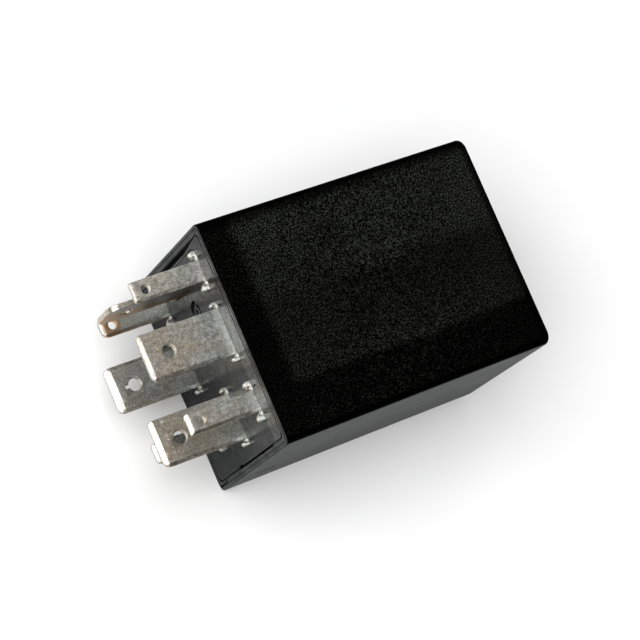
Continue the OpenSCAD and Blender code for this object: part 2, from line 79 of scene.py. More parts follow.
class Nodes:
    """A material's node tree, with short calls for the nodes that this scene uses."""

    def __init__(self, name):
        self.mat = bpy.data.materials.new(name)
        self.mat.use_nodes = True
        self.tree = self.mat.node_tree
        self.bsdf = self.tree.nodes["Principled BSDF"]
        self.coord = self.tree.nodes.new("ShaderNodeTexCoord")
        self.place = self.coord.outputs["Object"]
        self.facing = self.coord.outputs["Normal"]

    def put(self, socket, value):
        if isinstance(value, bpy.types.NodeSocket):
            self.tree.links.new(value, socket)
        elif value is not None:
            if socket.type == "RGBA" and len(value) == 3:
                value = (*value, 1.0)
            socket.default_value = value

    def node(self, kind, inputs=None, **props):
        n = self.tree.nodes.new(kind)
        for key, value in props.items():
            setattr(n, key, value)
        for key, value in (inputs or {}).items():
            self.put(n.inputs[key], value)
        return n

    def math(self, operation, a, b=None):
        return self.node("ShaderNodeMath", {0: a, 1: b}, operation=operation).outputs[0]

    def scaled(self, sx, sy, sz):
        """The object's own coordinates, in metres, times a scale along each axis."""
        n = self.node("ShaderNodeVectorMath", {0: self.place, 1: (sx, sy, sz)}, operation="MULTIPLY")
        return n.outputs[0]

    def noise(self, size, detail=2.0, roughness=0.5, vector=None, distortion=0.0):
        """Noise whose features are about size metres across."""
        n = self.node("ShaderNodeTexNoise", {
            "Vector": vector or self.place, "Scale": 1.0 / size, "Detail": detail,
            "Roughness": roughness, "Distortion": distortion})
        return n.outputs["Fac"]

    def cells(self, size):
        """Distance to the nearest of many scattered points about size metres apart."""
        n = self.node("ShaderNodeTexVoronoi", {"Vector": self.place, "Scale": 1.0 / size}, feature="F1")
        return n.outputs["Distance"]

    def ramp(self, value, *stops):
        """Colours or greys at positions from 0 to 1."""
        n = self.node("ShaderNodeValToRGB", {"Fac": value})
        elements = n.color_ramp.elements
        while len(elements) < len(stops):
            elements.new(0.5)
        for element, (position, colour) in zip(elements, stops):
            element.position = position
            if isinstance(colour, (int, float)):
                colour = (colour, colour, colour)
            element.color = (*colour, 1.0)
        return n.outputs["Color"]

    def step(self, value, low, high, to_low=0.0, to_high=1.0):
        """A smooth change from to_low to to_high as the value goes from low to high."""
        n = self.node("ShaderNodeMapRange", {
            "Value": value, "From Min": low, "From Max": high, "To Min": to_low, "To Max": to_high},
            interpolation_type="SMOOTHSTEP")
        return n.outputs["Result"]

    def mix(self, factor, a, b):
        n = self.node("ShaderNodeMix", data_type="RGBA", blend_type="MIX")
        self.put(n.inputs["Factor"], factor)
        self.put(n.inputs["A"], a)
        self.put(n.inputs["B"], b)
        return n.outputs["Result"]

    def axis(self, vector, index):
        n = self.node("ShaderNodeSeparateXYZ", {0: vector})
        return n.outputs[index]

    def bump(self, height, distance, strength):
        n = self.node("ShaderNodeBump", {"Height": height, "Distance": distance, "Strength": strength})
        return n.outputs["Normal"]

    def finish(self, colour=None, metallic=None, roughness=None, normal=None, **others):
        for key, value in {"Base Color": colour, "Metallic": metallic, "Roughness": roughness,
                           "Normal": normal}.items():
            if value is not None:
                self.put(self.bsdf.inputs[key], value)
        for key, value in others.items():
            self.put(self.bsdf.inputs[key.replace("_", " ")], value)
        return self.mat


def case_plastic():
    """Black moulded plastic: spark-eroded grain on the broad faces, drawn streaks on the narrow ones."""
    m = Nodes("case_plastic")
    side = m.math("ABSOLUTE", m.axis(m.facing, 1))
    narrow = m.step(side, 0.90, 0.985)
    grain = m.noise(0.20 * MM, detail=1.5, roughness=0.6)
    pits = m.cells(0.26 * MM)
    streak = m.noise(0.20 * MM, detail=3.0, roughness=0.6, vector=m.scaled(0.035, 1.0, 1.0))
    height = m.mix(narrow, m.math("ADD", grain, m.math("MULTIPLY", pits, 0.5)),
                   m.math("ADD", m.math("MULTIPLY", streak, 0.14), m.math("MULTIPLY", grain, 0.12)))
    x = m.axis(m.place, 0)
    y = m.axis(m.place, 1)
    # the middle of each broad face is a little paler than the band by its edges
    wander = m.math("MULTIPLY", m.math("SUBTRACT", m.noise(7 * MM), 0.5), 1.6 * MM)
    pale_middle = m.math("MULTIPLY", m.step(m.math("ADD", y, wander), -9.0 * MM, -7.4 * MM),
                   m.step(m.math("ADD", x, wander), 2.6 * MM, 5.4 * MM))
    # the paling is strongest beside the boundary, a painted highlight along it, and fades toward the long
    # edge and the closed end
    patches_and_highlight = m.step(m.noise(11 * MM, detail=3.0), 0.35, 0.65, 0.45, 0.64)
    patches_and_highlight = m.math("MULTIPLY", patches_and_highlight, m.step(y, -7.0 * MM, -1.0 * MM, 1.25, 0.90))
    patches_and_highlight = m.math("MULTIPLY", patches_and_highlight, m.step(y, 1.5 * MM, 4.5 * MM, 0.80, 1.50))
    patches_and_highlight = m.math("MULTIPLY", patches_and_highlight, m.step(y, 13.9 * MM, 12.4 * MM, 0.25, 1.0))
    patches_and_highlight = m.math("MULTIPLY", patches_and_highlight, m.math("MAXIMUM", m.step(x, 39.1 * MM, 38.3 * MM, 0.3, 1.0),
                                              m.step(m.axis(m.facing, 0), 0.90, 0.99, 0.0, 1.1)))
    # painted glints: the pale specks on the broad faces stand for the glints of the grain, and are few on the
    # rounded edges
    glint_specks = m.math("POWER", m.step(grain, 0.34, 0.76), m.step(pale_middle, 0.0, 1.0, 3.4, 1.7))
    level = m.step(pale_middle, 0.0, 1.0, 0.48, 1.0)
    flat = m.step(m.math("MAXIMUM", m.math("ABSOLUTE", m.axis(m.facing, 2)),
                         m.math("ABSOLUTE", m.axis(m.facing, 0))), 0.90, 0.995, 0.08, 1.0)
    amount = m.math("MULTIPLY", m.math("MULTIPLY", glint_specks, patches_and_highlight), m.math("MULTIPLY", level, flat))
    broad = m.mix(amount, (0.0001, 0.0001, 0.0001), (0.050, 0.054, 0.047))
    smooth = m.mix(m.step(m.math("ADD", m.math("MULTIPLY", streak, 0.55), m.math("MULTIPLY", grain, 0.45)),
                          0.34, 0.66), (0.021, 0.023, 0.023), (0.044, 0.047, 0.046))
    colour = m.mix(narrow, broad, smooth)
    # the moulded rim at the open end is smooth, and worn to a soft shine along its middle
    rim = m.math("MULTIPLY", m.step(m.axis(m.facing, 0), -0.6, -0.95), m.step(x, 1.0 * MM, 0.4 * MM))
    wear = m.step(m.noise(3.5 * MM, detail=3.0, distortion=0.6), 0.35, 0.65)
    colour = m.mix(rim, colour, m.mix(wear, (0.004, 0.005, 0.005), (0.022, 0.024, 0.023)))
    rough = m.mix(narrow, m.ramp(grain, (0.3, 0.50), (0.7, 0.72)), m.ramp(streak, (0.3, 0.34), (0.7, 0.52)))
    rough = m.mix(rim, rough, m.mix(wear, (0.34, 0.34, 0.34), (0.20, 0.20, 0.20)))
    upper = m.step(m.axis(m.place, 2), 12.6 * MM, 13.4 * MM, 0.09, 0.11)
    shine = m.math("ADD", m.math("MULTIPLY", narrow, 0.04), m.math("MULTIPLY", rim, upper))
    return m.finish(colour, roughness=rough, normal=m.bump(height, 0.030 * MM, 0.8),
                    Specular_IOR_Level=m.math("ADD", shine, 0.004))


def base_plastic():
    """Dark grey plastic with a soft shine, faint flow marks, fine grain and rubbed patches."""
    m = Nodes("base_plastic")
    flow = m.noise(2.6 * MM, detail=2.5, vector=m.scaled(1.0, 1.0, 0.45), distortion=0.4)
    fine = m.noise(0.16 * MM, detail=3.0, roughness=0.6)
    rub = m.noise(1.1 * MM, detail=4.0, roughness=0.65, distortion=0.8)
    colour = m.ramp(flow, (0.30, (0.0015, 0.002, 0.0022)), (0.70, (0.006, 0.007, 0.0075)))
    colour = m.mix(m.math("MULTIPLY", m.step(rub, 0.52, 0.74), m.step(fine, 0.36, 0.66)), colour,
                   (0.022, 0.024, 0.023))
    rough = m.math("ADD", m.step(flow, 0.3, 0.7, 0.13, 0.20), m.step(rub, 0.4, 0.65, 0.0, 0.12))
    # the shine is clearer along the upper edge, which the sockets of a holder do not rub
    y, z = m.axis(m.place, 1), m.axis(m.place, 2)
    clear = m.math("MULTIPLY", m.step(z, 9.9 * MM, 10.5 * MM, 0.0, 1.3), m.step(y, 4.6 * MM, 3.9 * MM))
    shine = m.math("MULTIPLY", m.step(z, -3.0 * MM, 7.0 * MM, 0.45, 0.95), m.math("ADD", clear, 1.0))
    height = m.math("ADD", m.math("MULTIPLY", flow, 0.6),
                    m.math("ADD", m.math("MULTIPLY", fine, 0.16), m.math("MULTIPLY", rub, 0.25)))
    return m.finish(colour, roughness=rough, normal=m.bump(height, 0.026 * MM, 0.6),
                    Specular_IOR_Level=m.math("MULTIPLY", m.step(rub, 0.35, 0.65, 0.15, 0.09), shine))


def rolled_metal(name, dull, bright, tarnish, roughness=(0.26, 0.42), stain=0.45, mottle=0.5, lines=0.5):
    """Rolled sheet metal: lines along X, fine mottling, and soft stains of a second colour."""
    m = Nodes(name)
    line = m.noise(0.05 * MM, detail=3.0, vector=m.scaled(0.03, 1.0, 1.0))
    fine = m.noise(0.10 * MM, detail=3.0, roughness=0.65)
    blotch = m.noise(1.6 * MM, detail=4.0, roughness=0.6, distortion=0.6)
    base = m.mix(m.step(fine, 0.5 - 0.25 * mottle, 0.5 + 0.25 * mottle), dull, bright)
    colour = m.mix(m.math("MULTIPLY", m.step(blotch, 0.48, 0.66), stain), base, tarnish)
    rough = m.math("ADD", m.step(fine, 0.3, 0.7, roughness[0], roughness[1]),
                   m.math("MULTIPLY", m.math("SUBTRACT", line, 0.5), 0.16))
    height = m.math("ADD", m.math("MULTIPLY", line, lines), m.math("MULTIPLY", fine, 0.6))
    return m.finish(colour, metallic=1.0, roughness=rough, normal=m.bump(height, 0.010 * MM, 0.7))


def blade_metal():
    """Tinned brass of the blades: tan and cool grey areas, sandy grain, pale flecks, faint brown tarnish,
    painted reflections and painted shade.
    """
    m = Nodes("tinned_brass")
    area = m.noise(3.4 * MM, detail=3.0, roughness=0.6, distortion=0.4)
    grain = m.noise(0.20 * MM, detail=2.0, roughness=0.7)
    sand = m.noise(0.55 * MM, detail=4.0, roughness=0.7, distortion=0.5)
    line = m.noise(0.07 * MM, detail=2.0, vector=m.scaled(0.05, 1.0, 1.0))
    # painted reflection: the tin is paler and cooler by the root and warmer toward the tip; painted shade and
    # reflection: the low row, below the others, is cooler and darker
    x, y, z = (m.axis(m.place, index) for index in range(3))
    area = m.math("ADD", area, m.step(x, -8.0 * MM, -0.5 * MM, -0.07, 0.13))
    low_row = m.step(z, -5.6 * MM, -5.9 * MM)
    left = m.step(y, 6.0 * MM, 6.4 * MM)
    area = m.math("ADD", area, m.math("MULTIPLY", low_row, 0.12))
    base = m.ramp(area, (0.38, (0.52, 0.46, 0.37)), (0.50, (0.54, 0.51, 0.45)), (0.64, (0.53, 0.57, 0.55)))
    wander = m.math("MULTIPLY", m.math("SUBTRACT", area, 0.5), 7.0 * MM)
    # painted reflection: pale blue-grey by the root
    root = m.step(m.math("ADD", x, wander), -5.2 * MM, -2.6 * MM, 0.0, 0.34)
    base = m.mix(root, base, (0.78, 0.85, 0.83))
    # painted shade and reflection: the low row darker and blue-grey
    base = m.mix(m.math("MULTIPLY", low_row, 0.22), base, (0.20, 0.23, 0.25))
    # pin_1 is paler than the others
    pale_pin = m.math("MULTIPLY", left, m.step(z, 8.0 * MM, 8.4 * MM))
    base = m.mix(m.math("MULTIPLY", pale_pin, 0.35), base, (0.88, 0.87, 0.82))
    base = m.mix(m.step(sand, 0.36, 0.64), m.mix(0.6, base, (0.38, 0.34, 0.28)), base)
    base = m.mix(m.step(grain, 0.34, 0.48, 0.60, 0.0), base, (0.30, 0.26, 0.20))
    base = m.mix(m.step(grain, 0.52, 0.68, 0.0, 0.75), base, (0.92, 0.90, 0.84))
    spot = m.step(m.noise(1.5 * MM, detail=3.0, roughness=0.6, distortion=0.8), 0.58, 0.76, 0.0, 0.45)
    colour = m.mix(spot, base, (0.44, 0.31, 0.18))
    # painted reflection: the faces turned to -Y are painted dark brown as the dark surroundings they mirror;
    # on the left column, a painted bluish reflection, and brown below the top of its turned blade
    dark_reflection_faces = m.step(m.axis(m.facing, 1), -0.35, -0.65)
    colour = m.mix(m.math("MULTIPLY", dark_reflection_faces, 0.55), colour, (0.20, 0.15, 0.09))
    left_minus_y = m.math("MULTIPLY", dark_reflection_faces, left)
    low = m.step(m.math("ADD", z, m.math("MULTIPLY", wander, 1.1)), 3.9 * MM, 0.3 * MM)
    # painted bluish reflection on the left column's faces turned to -Y
    cool = m.math("MULTIPLY", m.math("SUBTRACT", 1.0, low), m.step(z, 6.4 * MM, 6.0 * MM, 0.0, 0.38))
    colour = m.mix(m.math("MULTIPLY", left_minus_y, cool), colour, (0.56, 0.58, 0.68))
    colour = m.mix(m.math("MULTIPLY", left_minus_y, m.math("MULTIPLY", low, 0.80)), colour, (0.46, 0.28, 0.13))
    # a painted brown reflection round the hole of pin_3
    ring = m.math("ADD", m.math("POWER", m.math("ABSOLUTE", m.math("ADD", x, 8.2 * MM)), 2.0),
                  m.math("POWER", m.math("ABSOLUTE", m.math("SUBTRACT", y, 9.6 * MM)), 2.0))
    ring = m.math("MULTIPLY", m.step(ring, 2.2 * MM * MM, 0.7 * MM * MM), low_row)
    colour = m.mix(m.math("MULTIPLY", ring, m.step(sand, 0.35, 0.60, 0.3, 0.9)), colour, (0.46, 0.24, 0.09))
    # a broken line of pale scratches across the blade that carries the load
    mark = m.math("MULTIPLY", m.step(m.math("ABSOLUTE", m.math("ADD", x, 9.9 * MM)), 0.22 * MM, 0.08 * MM),
                  m.step(m.noise(0.7 * MM, detail=2.0), 0.50, 0.58))
    mark = m.math("MULTIPLY", mark, m.step(y, -4.6 * MM, -5.0 * MM, 0.0, 0.8))
    colour = m.mix(mark, colour, (0.95, 0.94, 0.90))
    rough = m.math("ADD", m.step(sand, 0.3, 0.7, 0.29, 0.42),
                   m.math("MULTIPLY", m.math("SUBTRACT", line, 0.5), 0.10))
    height = m.math("ADD", m.math("ADD", m.math("MULTIPLY", grain, 0.5), m.math("MULTIPLY", sand, 0.8)),
                    m.math("MULTIPLY", line, 0.25))
    return m.finish(colour, metallic=1.0, roughness=rough, normal=m.bump(height, 0.018 * MM, 0.8))


def moulded(name, dark, pale, roughness=(0.4, 0.55), grain=0.15, relief=0.02, specular=0.5):
    """Any other moulded plastic, rubber, ceramic or lacquer: two close tones, fine grain, soft relief."""
    m = Nodes(name)
    blotch = m.noise(1.4 * MM, detail=4.0)
    fine = m.noise(grain * MM, detail=3.0)
    colour = m.ramp(m.math("ADD", m.math("MULTIPLY", blotch, 0.7), m.math("MULTIPLY", fine, 0.3)),
                    (0.35, dark), (0.65, pale))
    return m.finish(colour, roughness=m.step(fine, 0.3, 0.7, *roughness),
                    normal=m.bump(m.math("ADD", fine, blotch), relief * MM, 0.6),
                    Specular_IOR_Level=specular)


def copper_wire():
    """Enamelled copper: a warm coat whose depth of colour changes from turn to turn."""
    m = Nodes("copper_wire")
    turn = m.noise(0.5 * MM, detail=2.0, vector=m.scaled(1.0, 0.15, 0.15))
    fine = m.noise(0.2 * MM, detail=2.0)
    colour = m.ramp(m.math("ADD", m.math("MULTIPLY", turn, 0.8), m.math("MULTIPLY", fine, 0.2)),
                    (0.3, (0.42, 0.13, 0.045)), (0.7, (0.80, 0.36, 0.16)))
    return m.finish(colour, metallic=0.9, roughness=m.step(turn, 0.3, 0.7, 0.22, 0.36),
                    normal=m.bump(fine, 0.01 * MM, 0.5), Coat_Weight=0.6, Coat_Roughness=0.12)


def board_laminate(name="board_laminate", dark=(0.006, 0.062, 0.020), pale=(0.010, 0.088, 0.030)):
    """Green solder mask over glass weave."""
    m = Nodes(name)
    weave = [m.math("SINE", m.math("MULTIPLY", m.axis(m.place, index), 2 * math.pi / (0.5 * MM)))
             for index in (1, 2)]
    cloth = m.math("MULTIPLY", weave[0], weave[1])
    blotch = m.noise(3 * MM, detail=3.0)
    colour = m.mix(m.step(cloth, -0.6, 0.8), dark, pale)
    colour = m.mix(m.math("MULTIPLY", blotch, 0.5), colour, tuple(0.7 * c for c in dark))
    return m.finish(colour, roughness=m.step(blotch, 0.3, 0.7, 0.22, 0.34),
                    normal=m.bump(cloth, 0.006 * MM, 0.4), Coat_Weight=0.4, Coat_Roughness=0.1)


def capacitor_sleeve():
    """Dark blue shrink sleeve with one pale stripe, and the bare can at its end."""
    m = Nodes("capacitor_sleeve")
    blotch = m.noise(1.4 * MM, detail=4.0)
    fine = m.noise(0.15 * MM, detail=3.0)
    sleeve = m.ramp(blotch, (0.35, (0.008, 0.012, 0.045)), (0.65, (0.014, 0.022, 0.070)))
    stripe = m.step(m.axis(m.facing, 1), -0.86, -0.88)
    sleeve = m.mix(stripe, sleeve, m.ramp(fine, (0.3, (0.42, 0.46, 0.50)), (0.7, (0.52, 0.56, 0.60))))
    bare = m.math("MULTIPLY", m.step(m.axis(m.facing, 0), 0.90, 0.96),
                  m.step(m.axis(m.place, 0), (BOARD_TOP + 11.5) * MM, (BOARD_TOP + 12.2) * MM))
    colour = m.mix(bare, sleeve, m.ramp(fine, (0.3, (0.62, 0.62, 0.62)), (0.7, (0.78, 0.78, 0.78))))
    rough = m.math("ADD", m.step(fine, 0.3, 0.7, 0.18, 0.28), m.math("MULTIPLY", bare, 0.12))
    return m.finish(colour, metallic=bare, roughness=rough,
                    normal=m.bump(m.math("ADD", fine, blotch), 0.012 * MM, 0.6))


def banded(name, dark, pale, axis, bands, roughness=(0.22, 0.34)):
    """Lacquer with coloured bands round the body, each at a place along one axis, in millimetres."""
    m = Nodes(name)
    fine = m.noise(0.15 * MM, detail=3.0)
    colour = m.ramp(m.noise(1.4 * MM, detail=4.0), (0.35, dark), (0.65, pale))
    along = m.axis(m.place, axis)
    for centre, half, tone in bands:
        away = m.math("ABSOLUTE", m.math("SUBTRACT", along, centre * MM))
        colour = m.mix(m.step(away, (half + 0.03) * MM, (half - 0.03) * MM), colour, tone)
    return m.finish(colour, roughness=m.step(fine, 0.3, 0.7, *roughness), normal=m.bump(fine, 0.01 * MM, 0.6))


# the board's two faces along X, in millimetres
BOARD_X, BOARD_TOP = 6.2, 7.8

MATERIALS = {
    "case_plastic": case_plastic(),
    "base_plastic": base_plastic(),
    "tinned_brass": blade_metal(),
    "board_laminate": board_laminate(),
    "solder": rolled_metal("solder", (0.55, 0.55, 0.56), (0.80, 0.80, 0.80), (0.40, 0.39, 0.37),
                           (0.22, 0.40), stain=0.3, lines=0.05),
    "yoke_steel": rolled_metal("yoke_steel", (0.40, 0.40, 0.41), (0.62, 0.62, 0.62), (0.46, 0.43, 0.34),
                               (0.32, 0.46), stain=0.35),
    "bobbin_nylon": moulded("bobbin_nylon", (0.52, 0.46, 0.35), (0.66, 0.60, 0.48), (0.42, 0.55)),
    "copper_wire": copper_wire(),
    "spring_bronze": rolled_metal("spring_bronze", (0.52, 0.30, 0.13), (0.76, 0.50, 0.26), (0.36, 0.18, 0.09),
                                  (0.22, 0.36)),
    "contact_silver": rolled_metal("contact_silver", (0.62, 0.61, 0.58), (0.90, 0.89, 0.86),
                                   (0.42, 0.36, 0.28), (0.20, 0.34), lines=0.1),
    "carrier_brass": rolled_metal("carrier_brass", (0.58, 0.42, 0.18), (0.80, 0.62, 0.32), (0.40, 0.26, 0.12),
                                  (0.24, 0.38)),
    "rivet_steel": rolled_metal("rivet_steel", (0.34, 0.34, 0.35), (0.56, 0.56, 0.56), (0.30, 0.27, 0.22),
                                (0.28, 0.42), lines=0.1),
    "capacitor_sleeve": capacitor_sleeve(),
    "bung_rubber": moulded("bung_rubber", (0.010, 0.010, 0.010), (0.020, 0.020, 0.020), (0.6, 0.75)),
    "black_epoxy": moulded("black_epoxy", (0.010, 0.010, 0.011), (0.020, 0.020, 0.021), (0.42, 0.60),
                           grain=0.08),
    "resistor_lacquer": banded("resistor_lacquer", (0.45, 0.28, 0.12), (0.58, 0.40, 0.20), 0,
                               [(9.3, 0.28, (0.16, 0.05, 0.02)), (10.7, 0.25, (0.01, 0.01, 0.01)),
                                (11.7, 0.25, (0.42, 0.02, 0.01)), (14.2, 0.25, (0.50, 0.32, 0.08))]),
    "diode_epoxy": banded("diode_epoxy", (0.012, 0.012, 0.013), (0.024, 0.024, 0.025), 1,
                          [(7.9, 0.32, (0.55, 0.55, 0.54))], (0.36, 0.52)),
    "board_track": board_laminate("board_track", (0.016, 0.150, 0.048), (0.022, 0.180, 0.060)),
    "board_print": moulded("board_print", (0.62, 0.63, 0.60), (0.76, 0.77, 0.74), (0.4, 0.5), grain=0.1,
                           relief=0.004),
    "lead_wire": rolled_metal("lead_wire", (0.58, 0.58, 0.57), (0.80, 0.80, 0.79), (0.46, 0.43, 0.38),
                              (0.22, 0.36), lines=0.2),
    "chip_ceramic": moulded("chip_ceramic", (0.30, 0.22, 0.13), (0.42, 0.32, 0.20), (0.35, 0.5)),
}


# ---------------------------------------------------------------- mesh helpers

def arc(cx, cy, r, start, end, steps):
    """Points of an arc, in degrees, both ends included."""
    out = []
    for i in range(steps + 1):
        a = math.radians(start + (end - start) * i / steps)
        out.append((cx + r * math.cos(a), cy + r * math.sin(a)))
    return out


def keep(obj, body, slot_name, node=None, material=None):
    """Material, ride, slot and replaced node of a new piece."""
    obj.data.materials.clear()
    obj.data.materials.append(MATERIALS[material or slot_name])
    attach(obj, body)
    if node:
        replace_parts(obj, node)
    return obj


def new_object(name, bm, smooth_angle=32.0):
    """A mesh object from a bmesh, smooth but for edges sharper than an angle."""
    bmesh.ops.remove_doubles(bm, verts=bm.verts, dist=0.0005 * MM)
    bmesh.ops.recalc_face_normals(bm, faces=bm.faces)
    for f in bm.faces:
        f.smooth = True
    for e in bm.edges:
        e.smooth = len(e.link_faces) == 2 and e.calc_face_angle(0.0) < math.radians(smooth_angle)
    mesh = bpy.data.meshes.new(name)
    bm.to_mesh(mesh)
    bm.free()
    obj = bpy.data.objects.new(name, mesh)
    bpy.context.scene.collection.objects.link(obj)
    return obj


def weighted(obj):
    """Normals weighted by face area, so that narrow bevels don't shade the flats beside them."""
    mod = obj.modifiers.new("weighted", "WEIGHTED_NORMAL")
    mod.keep_sharp = True
    mod.weight = 100
    return obj


def bevelled(obj, width, segments):
    """Sharp edges broken by a bevel, in millimetres."""
    mod = obj.modifiers.new("bevel", "BEVEL")
    mod.width = width * MM
    mod.segments = segments
    mod.limit_method = "ANGLE"
    mod.angle_limit = math.radians(35.0)
    mod.harden_normals = False
    return weighted(obj)


def applied(obj):
    """Turns the modifiers so far into mesh."""
    bpy.context.view_layer.update()
    graph = bpy.context.evaluated_depsgraph_get()
    mesh = bpy.data.meshes.new_from_object(obj.evaluated_get(graph))
    old = obj.data
    obj.modifiers.clear()
    obj.data = mesh
    bpy.data.meshes.remove(old)
    return obj


def loft(bm, rings, close_ends=False):
    """Quads between rings of equal point counts. Returns the rows of vertices."""
    rows = [[bm.verts.new(p) for p in ring] for ring in rings]
    n = len(rows[0])
    for a, b in zip(rows, rows[1:]):
        for i in range(n):
            bm.faces.new((a[i], a[(i + 1) % n], b[(i + 1) % n], b[i]))
    if close_ends:
        bm.faces.new(rows[0])
        bm.faces.new(list(reversed(rows[-1])))
    return rows


def sheet_part(name, outer, holes, thickness, edge, to_row):
    """A flat stamped part from an outline in millimetres, with its edges rounded, placed by a function."""
    curve = bpy.data.curves.new(name + "_outline", "CURVE")
    curve.dimensions = "2D"
    curve.fill_mode = "BOTH"
    curve.extrude = thickness / 2 - edge
    curve.bevel_depth = edge
    curve.bevel_resolution = 2
    curve.offset = -edge
    for loop in [outer, *holes]:
        spline = curve.splines.new("POLY")
        spline.points.add(len(loop) - 1)
        for point, (px, py) in zip(spline.points, loop):
            point.co = (px, py, 0, 1)
        spline.use_cyclic_u = True
    holder = bpy.data.objects.new(name + "_outline", curve)
    bpy.context.scene.collection.objects.link(holder)
    bpy.context.view_layer.update()
    graph = bpy.context.evaluated_depsgraph_get()
    mesh = bpy.data.meshes.new_from_object(holder.evaluated_get(graph))
    bm = bmesh.new()
    bm.from_mesh(mesh)
    bpy.data.objects.remove(holder)
    bpy.data.curves.remove(curve)
    bpy.data.meshes.remove(mesh)
    bmesh.ops.remove_doubles(bm, verts=bm.verts, dist=0.002)
    to_row(bm)
    return bm


def circle(cx, cy, r, steps=28):
    """Points of a whole circle, each once."""
    return arc(cx, cy, r, 0, 360 - 360 / steps, steps - 1)


def refined(name, edge, segments=2, material=None):
    """A CAD node's own shape with its edges broken, as a new piece that stands for the node."""
    source = NODES[name]
    bm = bmesh.new()
    bm.from_mesh(source.data)
    bmesh.ops.remove_doubles(bm, verts=bm.verts, dist=0.001 * MM)
    bmesh.ops.dissolve_limit(bm, angle_limit=math.radians(0.6), verts=bm.verts, edges=bm.edges)
    obj = new_object(name + "_part", bm, smooth_angle=35.0)
    bevelled(obj, edge, segments)
    slots = {s["node"]: s["material_slot"] for s in frame["record"]["subparts"]}
    return keep(obj, source["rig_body"], slots[name], name, material)


# ---------------------------------------------------------------- sizes, in millimetres, as the CAD has them

BODY_L, BODY_W, BODY_H = 40.0, 30.0, 28.0
WALL, ROOF = 1.15, 1.2
DRAFT_W, DRAFT_H = 0.3, 0.2
EDGE_R, END_R = 1.2, 1.0
BASE_T, BASE_GAP = 2.4, 0.08
# half sizes of the cavity at the open end, and of the plate in it
CAV_Y, CAV_Z = BODY_W / 2 - WALL, BODY_H / 2 - WALL
PLATE_Y, PLATE_Z = CAV_Y - BASE_GAP, CAV_Z - BASE_GAP
BLADE_T = 0.8
POWER = {"width": 6.3, "length": 11.7, "ears": 8.1, "hole_r": 0.9, "hole_x": 8.3, "neck": 3.4, "tail": 2.0}
SIGNAL = {"width": 2.8, "length": 9.8, "ears": 5.4, "hole_r": 0.6, "hole_x": 8.0, "neck": 1.8, "tail": 1.2}
SHORT = {**SIGNAL, "length": 9.5}
COL_LEFT, COL_MID, COL_RIGHT = 9.8, 1.45, -8.05
ROW_TOP, ROW_MID, ROW_LOW = 9.6, 1.6, -6.4
TAIL_X = BOARD_TOP + 0.9
COIL_Y, COIL_Z, COIL_PIN_DY, COIL_PIN_Z = -4.5, 0.5, 4.7, -4.9
CAP_Y, CAP_Z, CAP_LEAD_DY = 9.3, -9.0, 1.25
DIODE_Y, DIODE_Z, DIODE_LEAD_DY = 6.2, -2.9, 3.6
RESISTOR_Y, RESISTOR_LEAD_Z = 11.6, (4.9, 7.6)
TRANSISTOR_Y, TRANSISTOR_Z, TRANSISTOR_LEAD_DY = 6.0, 9.6, 1.27
INNER_EDGE, RIM_R = 0.6, 0.13
LEAD_BORE, LEAD_PAD = 0.43, 0.85
GATE_Y, GATE_Z = 6.2, 2.7
POST_Y, POST_Z = 12, 11.3
# node, y, z, form, quarter turn, corner radius on the + and on the - side, tip bevel, slit at the hole,
# share of the thickness left at the tip, at the + long edge and at the - long edge
BLADES = [
    ("blade_87", COL_LEFT, ROW_MID, POWER, True, 1.5, 1.3, 0.8, 0.0, 0.80, 0.90, 0.90),
    ("blade_30", COL_RIGHT, ROW_MID, POWER, False, 0.6, 1.1, 0.68, 0.0, 0.42, 0.90, 0.50),
    ("blade_85", COL_MID, ROW_TOP, POWER, False, 0.7, 0.9, 0.55, 0.0, 0.72, 0.80, 0.42),
    ("blade_86", COL_MID, ROW_LOW, POWER, False, 0.8, 0.9, 1.0, 0.5, 0.45, 0.70, 0.50),
    ("pin_1", COL_LEFT, ROW_TOP, SIGNAL, False, 0.2, 0.45, 0.5, 0.0, 0.92, 0.85, 0.60),
    ("pin_2", COL_RIGHT, ROW_TOP, SIGNAL, False, 0.3, 0.35, 0.45, 0.0, 0.45, 0.92, 0.38),
    ("pin_3", COL_LEFT, ROW_LOW, SIGNAL, False, 0.9, 1.1, 0.6, 0.0, 0.75, 0.60, 0.42),
    ("pin_4", COL_RIGHT, ROW_LOW, SHORT, False, 0.6, 0.7, 0.6, 0.0, 0.42, 0.70, 0.60),
]


# ---------------------------------------------------------------- cover

def rounded_ring(x, half_y, half_z, r, corner=8, along_y=14, along_z=12):
    """Points of a round-cornered rectangle in the plane of x, all in millimetres."""
    loop = []
    corners = [(1, 1, 0), (-1, 1, 90), (-1, -1, 180), (1, -1, 270)]
    for index, (sy, sz, start) in enumerate(corners):
        loop += arc(sy * (half_y - r), sz * (half_z - r), r, start, start + 90, corner)
        nsy, nsz, _ = corners[(index + 1) % 4]
        y0, z0 = loop[-1]
        count = along_y if index % 2 == 0 else along_z
        if index % 2 == 0:
            y1, z1 = nsy * (half_y - r), z0
        else:
            y1, z1 = y0, nsz * (half_z - r)
        for k in range(1, count):
            loop.append((y0 + (y1 - y0) * k / count, z0 + (z1 - z0) * k / count))
    return [Vector((x, y, z)) * MM for y, z in loop]


def box_cutter(name, low, high, soften=0.0):
    """A box, with its edges rounded, for cutting recesses. Corners are in millimetres."""
    bm = bmesh.new()
    bmesh.ops.create_cube(bm, size=1.0)
    low, high = Vector(low) * MM, Vector(high) * MM
    for v in bm.verts:
        v.co = Vector((v.co[i] + 0.5) * (high[i] - low[i]) + low[i] for i in range(3))
    if soften:
        bmesh.ops.bevel(bm, geom=bm.edges[:], offset=soften * MM, segments=2, profile=0.5, affect="EDGES")
    return new_object(name, bm)


